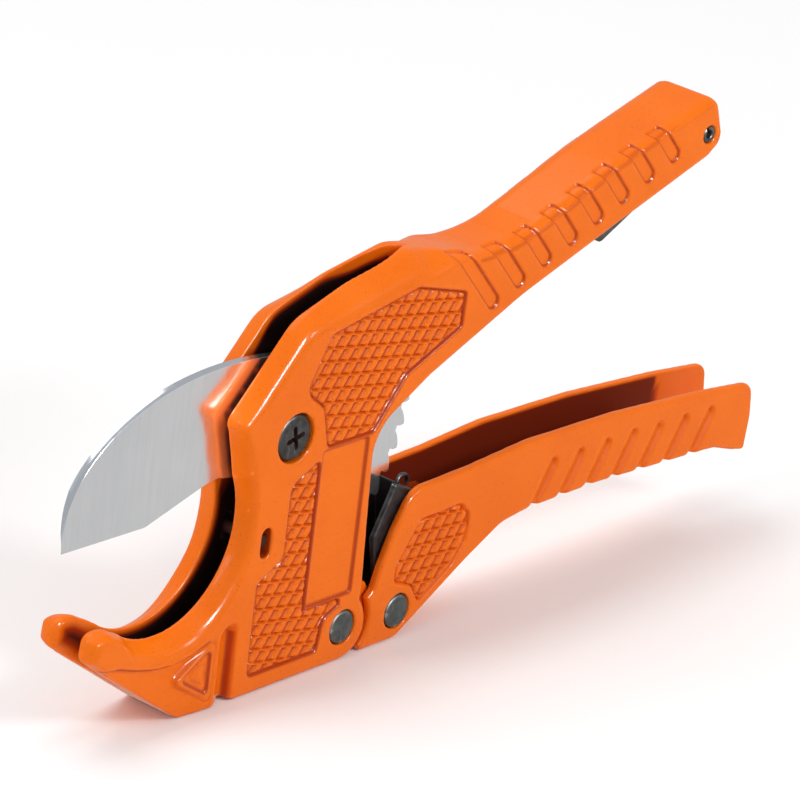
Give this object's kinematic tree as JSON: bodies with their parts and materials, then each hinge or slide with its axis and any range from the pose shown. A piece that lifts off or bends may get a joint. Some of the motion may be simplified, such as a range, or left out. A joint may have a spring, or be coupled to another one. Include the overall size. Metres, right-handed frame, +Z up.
{
  "type": "pipe cutter",
  "caption": "Hand cutter for plastic pipe: cast body with a C jaw and fixed handle, hooked blade moved by a pawl on the sprung lower handle, and a latch that holds the handles closed.",
  "frame": {"origin": "centre of the bounding box in X and Y, at the floor the tool stands on", "axes": "+X from the jaw towards the handles' ends, +Y away from the side with the screw head, +Z up"},
  "size_m": [0.2221, 0.016, 0.1048],
  "materials": {
    "body_enamel": "gloss",
    "handle_enamel": "gloss",
    "blade_steel": "fine ground",
    "screw_steel": "dark plated",
    "zinc_steel": "dull plated",
    "pin_steel": "dark plated",
    "pawl_black": "black oxide"
  },
  "bodies": {
    "frame": {"body": "body_enamel", "blade_pivot_screw": "screw_steel", "screw_lock_washer": "zinc_steel", "blade_pivot_nut": "screw_steel", "blade_pivot_bush": "zinc_steel", "blade_washer_near": "zinc_steel", "blade_washer_far": "zinc_steel", "blade_return_spring": "zinc_steel", "spring_anchor_pin": "zinc_steel", "handle_pivot_pin": "pin_steel", "handle_return_spring": "zinc_steel", "latch_pin": "screw_steel"},
    "squeeze_handle": {"lower_handle": "handle_enamel", "pawl_pin": "pin_steel"},
    "cutting_blade": {"blade": "blade_steel"},
    "pawl": {"ratchet_pawl": "pawl_black", "pawl_spring": "pawl_black"},
    "lock": {"latch": "screw_steel"}
  },
  "joints": [
    {"name": "handle_pivot", "type": "hinge", "parent": "frame", "child": "squeeze_handle", "pos_m": [-0.0277, 0, 0.0074], "axis": [0, -1, 0], "range_deg": [0, 22.5], "stiffness_Nm_per_rad": 0.5, "springref_deg": -45.84},
    {"name": "blade_pivot", "type": "hinge", "parent": "frame", "child": "cutting_blade", "pos_m": [-0.0502, 0, 0.056], "axis": [0, -1, 0], "range_deg": [-28, 38]},
    {"name": "pawl_pivot", "type": "hinge", "parent": "squeeze_handle", "child": "pawl", "pos_m": [-0.0097, 0, 0.0063], "axis": [0, -1, 0], "range_deg": [-24, 0]},
    {"name": "latch_pivot", "type": "hinge", "parent": "frame", "child": "lock", "pos_m": [0.0796, 0, 0.0966], "axis": [0, -1, 0], "range_deg": [0, 75]}
  ],
  "couplings": [
    {"joint": "pawl_pivot", "follows": "handle_pivot", "ratio": -1}
  ]
}
